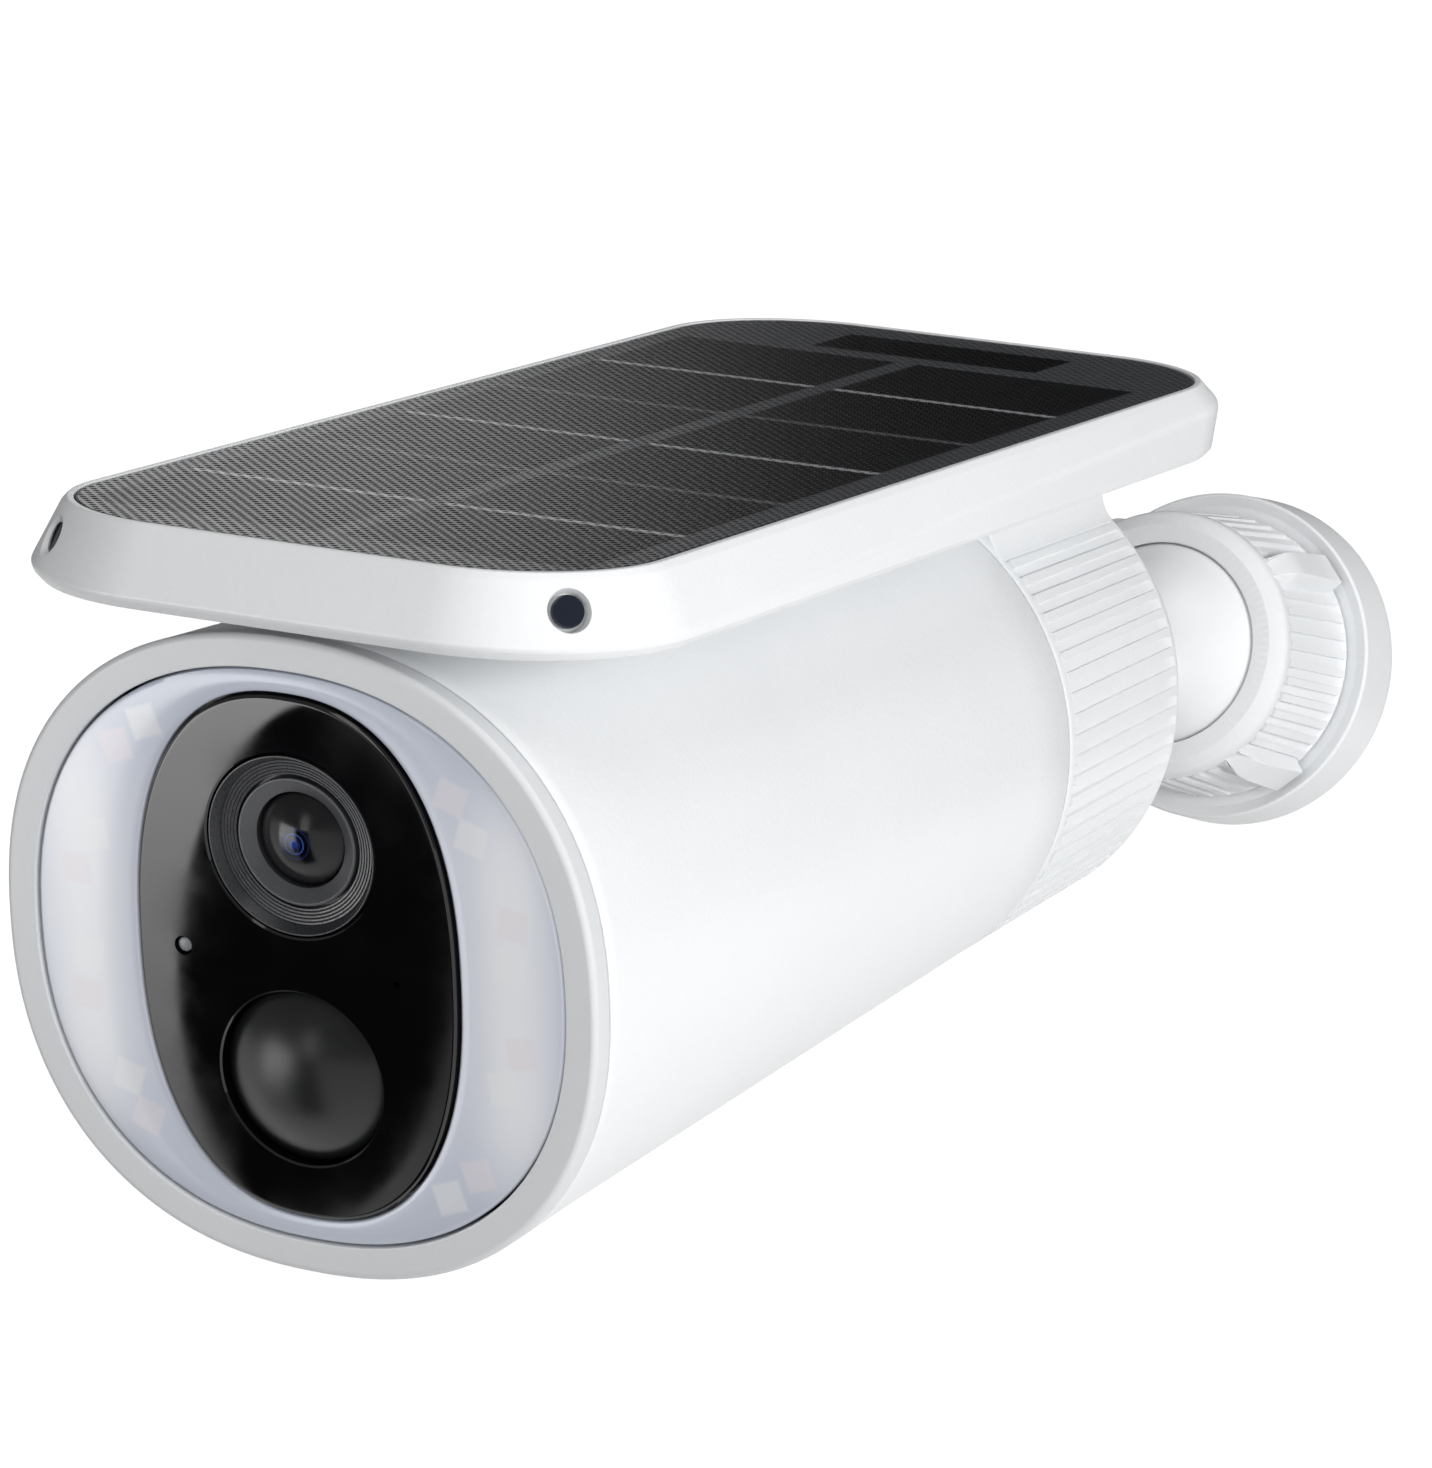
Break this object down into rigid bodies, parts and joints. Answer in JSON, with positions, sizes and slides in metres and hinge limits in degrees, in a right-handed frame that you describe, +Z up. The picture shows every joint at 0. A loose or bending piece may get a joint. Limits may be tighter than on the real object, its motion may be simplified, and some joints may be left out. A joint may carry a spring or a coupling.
{
  "type": "solar-powered security camera",
  "caption": "Bullet security camera with a solar panel on a geared turning collar, and a ball mount with a ribbed locking ring for a wall.",
  "frame": {"origin": "centre of the wall base's back face, where its axis meets the wall", "axes": "+Y from the camera's face towards the wall, parallel to the camera body's axis, which is level; +Z up; +X to the camera's own left as seen from behind it, so it is on the right as seen facing the lens"},
  "size_m": [0.0858, 0.296, 0.0913],
  "materials": {
    "black_glass": "black, polished",
    "black_plastic": "black, satin",
    "brass": "plain brass",
    "cell_can": "blue wrap over a metal can",
    "circuit_board": "green solder mask",
    "diffuser_plastic": "milky translucent, smooth",
    "gloss_white_plastic": "polished white",
    "grey_plastic": "light grey, satin",
    "infrared_dome": "black, polished, passes infrared",
    "motor_can": "plated can over windings",
    "nylon": "natural nylon",
    "rubber": "dark grey, matt",
    "sensor_window": "dark navy, polished",
    "solar_laminate": "black cells under a finely dimpled film",
    "steel": "plain steel",
    "white_board": "white solder mask",
    "white_plastic": "fine spark-eroded matte white",
    "white_rubber": "white, matt"
  },
  "bodies": {
    "wall_mount": {"wall_plate": "grey_plastic", "wall_base": "white_plastic", "ball_pad": "rubber"},
    "locking_ring": {"lock_ring": "white_plastic"},
    "ball_pan": {"ball_insert_outer": "steel"},
    "ball_tilt": {"ball_insert_core": "steel"},
    "camera": {"main_shell": "white_plastic", "front_bezel": "grey_plastic", "light_diffuser": "diffuser_plastic", "front_glass": "black_glass", "lens_ring": "black_plastic", "lens_barrel": "black_plastic", "front_lens": "black_glass", "lens_mount": "black_plastic", "image_sensor": "steel", "sensor_board": "circuit_board", "pir_dome": "infrared_dome", "pir_sensor": "steel", "front_board": "circuit_board", "status_light": "diffuser_plastic", "microphone": "steel", "led_board": "white_board", "front_frame": "black_plastic", "front_seal": "rubber", "battery_cell_left": "cell_can", "battery_cell_right": "cell_can", "battery_tray": "black_plastic", "main_board": "circuit_board", "processor_shield": "steel", "wifi_antenna": "brass", "speaker": "black_plastic", "port_plate": "black_plastic", "usb_socket": "steel", "port_board": "circuit_board", "gear_motor": "motor_can", "motor_bracket": "black_plastic", "rear_cover": "white_plastic", "rear_screw_1": "steel", "rear_screw_2": "steel", "rear_screw_3": "steel", "rear_screw_4": "steel", "stud_nut": "brass", "ball_stud": "gloss_white_plastic"},
    "panel_carrier": {"collar": "white_plastic", "ring_gear": "nylon", "panel_housing": "white_plastic", "panel_back_cover": "white_plastic", "solar_laminate": "solar_laminate", "charge_board": "circuit_board", "sun_sensor_front_left": "sensor_window", "sun_sensor_front_right": "sensor_window", "sun_sensor_rear_left": "sensor_window", "sun_sensor_rear_right": "sensor_window"},
    "drive": {"drive_gear": "nylon", "motor_shaft": "steel"},
    "flap": {"port_cover": "white_rubber"},
    "power_key": {"power_button": "grey_plastic"},
    "sync_key": {"sync_button": "grey_plastic"},
    "night_filter": {"ir_cut_filter": "black_glass"}
  },
  "joints": [
    {"name": "ring_turn", "type": "hinge", "parent": "wall_mount", "child": "locking_ring", "pos_m": [0, 0, 0], "axis": [0, -0.9641, 0.2656], "range_deg": [0, 90]},
    {"name": "ball_pan_turn", "type": "hinge", "parent": "wall_mount", "child": "ball_pan", "pos_m": [0, -0.02333, 0.00643], "axis": [0, 0, 1], "range_deg": [-28, 28]},
    {"name": "ball_tilt_turn", "type": "hinge", "parent": "ball_pan", "child": "ball_tilt", "pos_m": [0, -0.02333, 0.00643], "axis": [1, 0, 0], "range_deg": [-45.4, 14.6]},
    {"name": "ball_roll_turn", "type": "hinge", "parent": "ball_tilt", "child": "camera", "pos_m": [0, -0.02333, 0.00643], "axis": [0, 1, 0], "range_deg": [-180, 180]},
    {"name": "collar_turn", "type": "hinge", "parent": "camera", "child": "panel_carrier", "pos_m": [0, -0.11853, 0.01683], "axis": [0, 1, 0], "range_deg": [-40, 40]},
    {"name": "pinion_spin", "type": "hinge", "parent": "camera", "child": "drive", "pos_m": [0, -0.11553, -0.00417], "axis": [0, 1, 0], "range_deg": [-180, 180]},
    {"name": "flap_hinge", "type": "hinge", "parent": "camera", "child": "flap", "pos_m": [0, -0.15783, -0.01831], "axis": [1, 0, 0], "range_deg": [0, 110]},
    {"name": "power_press", "type": "slide", "parent": "camera", "child": "power_key", "axis": [0, 0, 1], "range_m": [0, 0.0005], "stiffness_N_per_m": 800},
    {"name": "sync_press", "type": "slide", "parent": "camera", "child": "sync_key", "axis": [0, 0, 1], "range_m": [0, 0.0005], "stiffness_N_per_m": 800},
    {"name": "night_filter_shift", "type": "slide", "parent": "camera", "child": "night_filter", "axis": [1, 0, 0], "range_m": [0, 0.005]}
  ],
  "couplings": [
    {"joint": "pinion_spin", "follows": "collar_turn", "ratio": 4.5}
  ]
}
